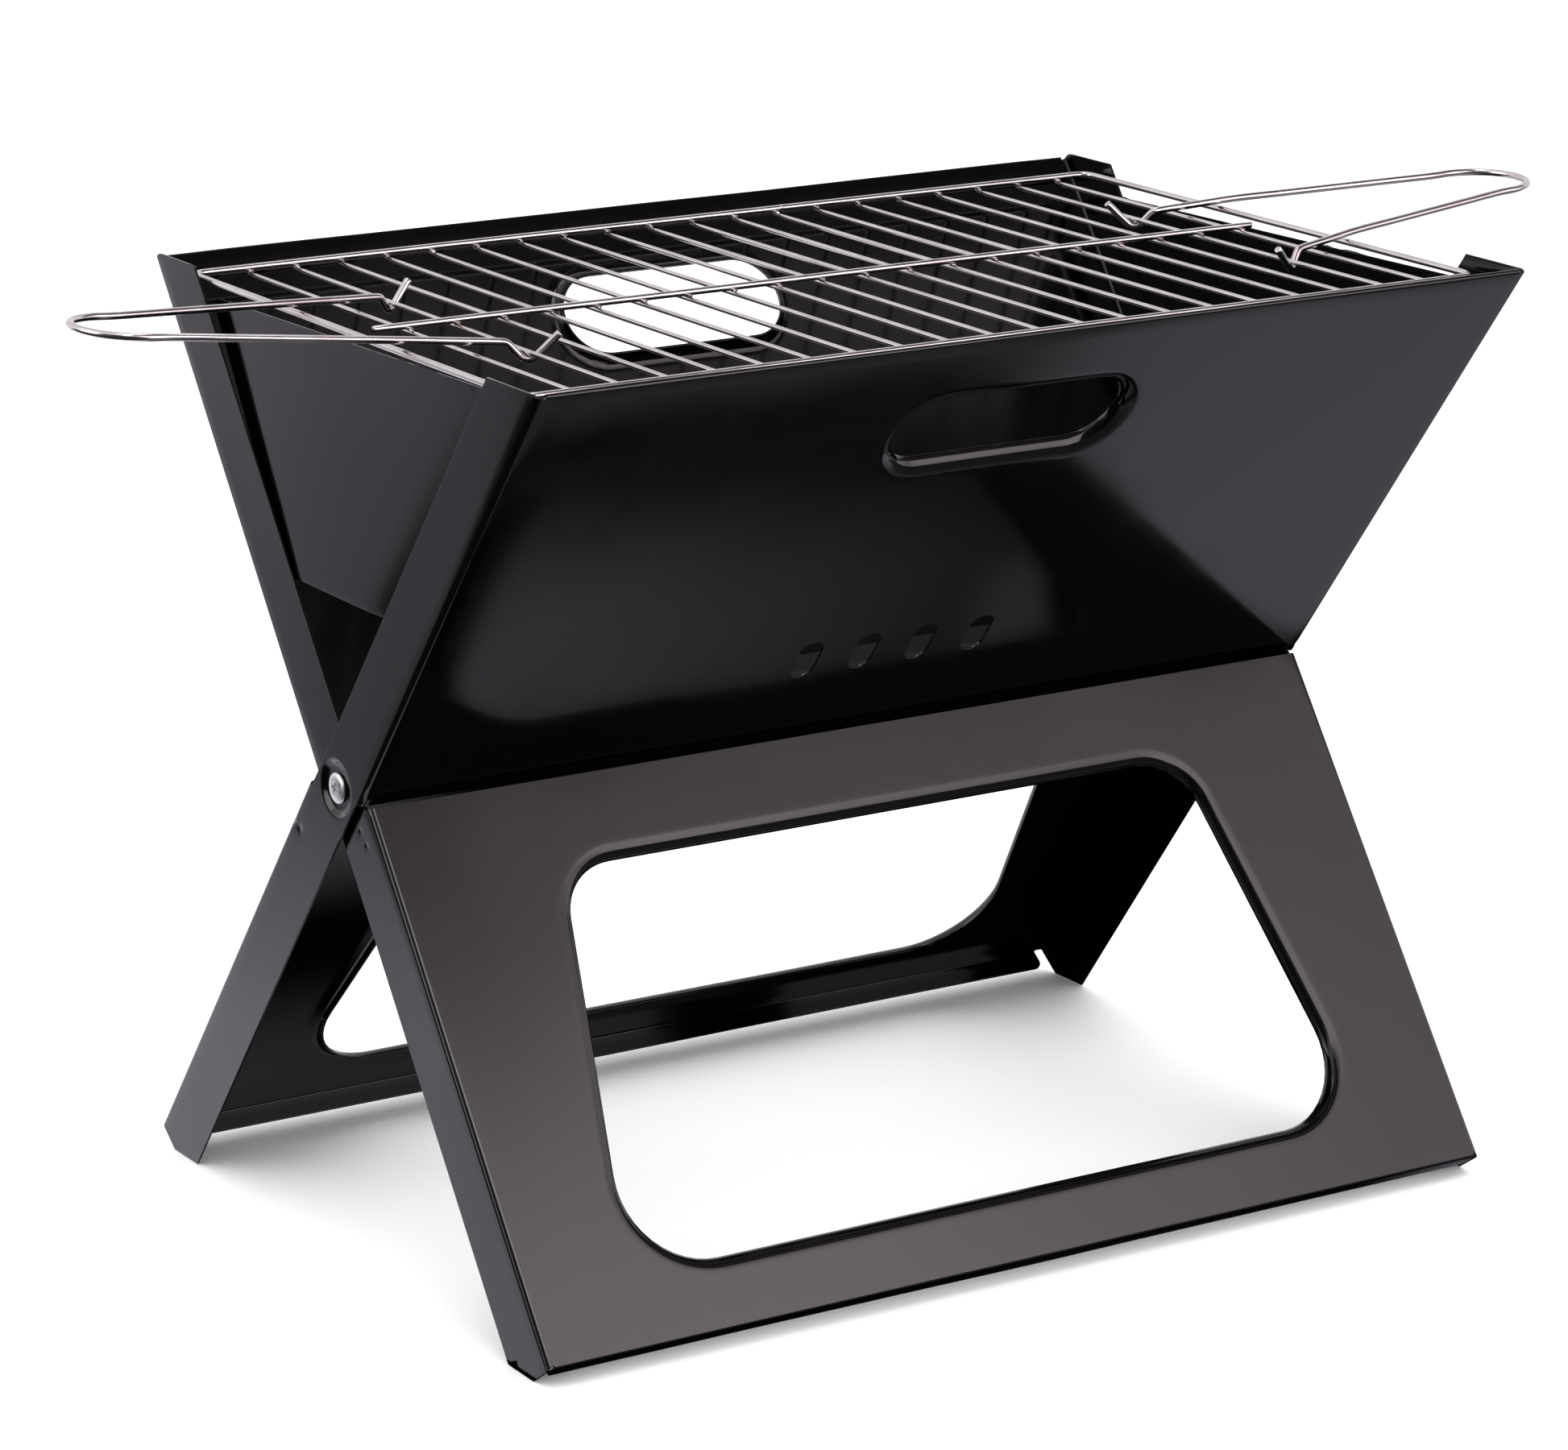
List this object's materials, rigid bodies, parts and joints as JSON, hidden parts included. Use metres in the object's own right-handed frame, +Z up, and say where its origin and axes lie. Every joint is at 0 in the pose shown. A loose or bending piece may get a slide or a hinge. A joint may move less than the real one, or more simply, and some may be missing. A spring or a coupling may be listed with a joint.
{
  "type": "folding camp grill",
  "caption": "Folding X-frame charcoal grill: two crossed sheet-steel frames on a pivot, a lift-off wire cooking grate with hooked wire handles, and swing-in end plates.",
  "frame": {"origin": "on the ground, midway between the feet from front to back, under the pivot, at the middle of the overall length over the handles (5.5 mm to the right of the middle of the body)", "axes": "+X along the pivot to the right, -Y to the front, +Z up"},
  "size_m": [0.674, 0.3104, 0.3862],
  "materials": {
    "black_enamel": "semi-gloss black heat-proof enamel",
    "bright_wire": "bright plated wire",
    "zinc_steel": "zinc plated",
    "heat_black_steel": "matt black"
  },
  "bodies": {
    "front_frame": {"front_panel": "black_enamel", "rear_leg_panel": "black_enamel", "pivot_bolt_left": "zinc_steel", "pivot_bolt_right": "zinc_steel", "pivot_washer_left": "zinc_steel", "pivot_washer_right": "zinc_steel", "pivot_nut_left": "zinc_steel", "pivot_nut_right": "zinc_steel"},
    "rear_frame": {"rear_panel": "black_enamel", "front_leg_panel": "black_enamel"},
    "cooking_grate": {"grate_rim": "bright_wire", "grate_centre_rod": "bright_wire", "grate_bar_01": "bright_wire", "grate_bar_02": "bright_wire", "grate_bar_03": "bright_wire", "grate_bar_04": "bright_wire", "grate_bar_05": "bright_wire", "grate_bar_06": "bright_wire", "grate_bar_07": "bright_wire", "grate_bar_08": "bright_wire", "grate_bar_09": "bright_wire", "grate_bar_10": "bright_wire", "grate_bar_11": "bright_wire", "grate_bar_12": "bright_wire", "grate_bar_13": "bright_wire", "grate_bar_14": "bright_wire", "grate_bar_15": "bright_wire", "grate_bar_16": "bright_wire", "grate_bar_17": "bright_wire", "grate_bar_18": "bright_wire", "grate_bar_19": "bright_wire", "grate_bar_20": "bright_wire"},
    "handle_left": {"handle_left": "bright_wire"},
    "handle_right": {"handle_right": "bright_wire"},
    "hinge_wire_left": {"hinge_wire_left": "zinc_steel"},
    "hinge_wire_right": {"hinge_wire_right": "zinc_steel"},
    "end_plate_left": {"end_plate_left": "black_enamel"},
    "end_plate_right": {"end_plate_right": "black_enamel"},
    "charcoal_grate": {"charcoal_grate": "heat_black_steel"}
  },
  "joints": [
    {"name": "frame_fold", "type": "hinge", "parent": "front_frame", "child": "rear_frame", "pos_m": [0, 0, 0.1938], "axis": [1, 0, 0], "range_deg": [0, 72]},
    {"name": "grate_lift", "type": "slide", "parent": "front_frame", "child": "cooking_grate", "axis": [0, 0, 1], "range_m": [0, 0.5045]},
    {"name": "charcoal_grate_lift", "type": "slide", "parent": "front_frame", "child": "charcoal_grate", "axis": [0, 0, 1], "range_m": [0, 0.5045]},
    {"name": "hinge_wire_left_lift", "type": "slide", "parent": "front_frame", "child": "hinge_wire_left", "axis": [0, 0, 1], "range_m": [0, 0.5045]},
    {"name": "hinge_wire_right_lift", "type": "slide", "parent": "front_frame", "child": "hinge_wire_right", "axis": [0, 0, 1], "range_m": [0, 0.5045]},
    {"name": "end_plate_left_swing", "type": "hinge", "parent": "hinge_wire_left", "child": "end_plate_left", "pos_m": [-0.222, -0.10408, 0.31595], "axis": [0, 0.5878, -0.809], "range_deg": [0, 90]},
    {"name": "end_plate_right_swing", "type": "hinge", "parent": "hinge_wire_right", "child": "end_plate_right", "pos_m": [0.211, -0.10408, 0.31595], "axis": [0, -0.5878, 0.809], "range_deg": [0, 90]},
    {"name": "handle_left_raise", "type": "hinge", "parent": "cooking_grate", "child": "handle_left", "pos_m": [-0.17595, 0, 0.3683], "axis": [0, 1, 0], "range_deg": [0, 150]},
    {"name": "handle_right_raise", "type": "hinge", "parent": "cooking_grate", "child": "handle_right", "pos_m": [0.17595, 0, 0.3683], "axis": [0, -1, 0], "range_deg": [0, 150]}
  ],
  "couplings": [
    {"joint": "grate_lift", "follows": "frame_fold", "m_per_rad": 0.40107},
    {"joint": "charcoal_grate_lift", "follows": "frame_fold", "m_per_rad": 0.40107},
    {"joint": "hinge_wire_left_lift", "follows": "frame_fold", "m_per_rad": 0.40107},
    {"joint": "hinge_wire_right_lift", "follows": "frame_fold", "m_per_rad": 0.40107}
  ]
}
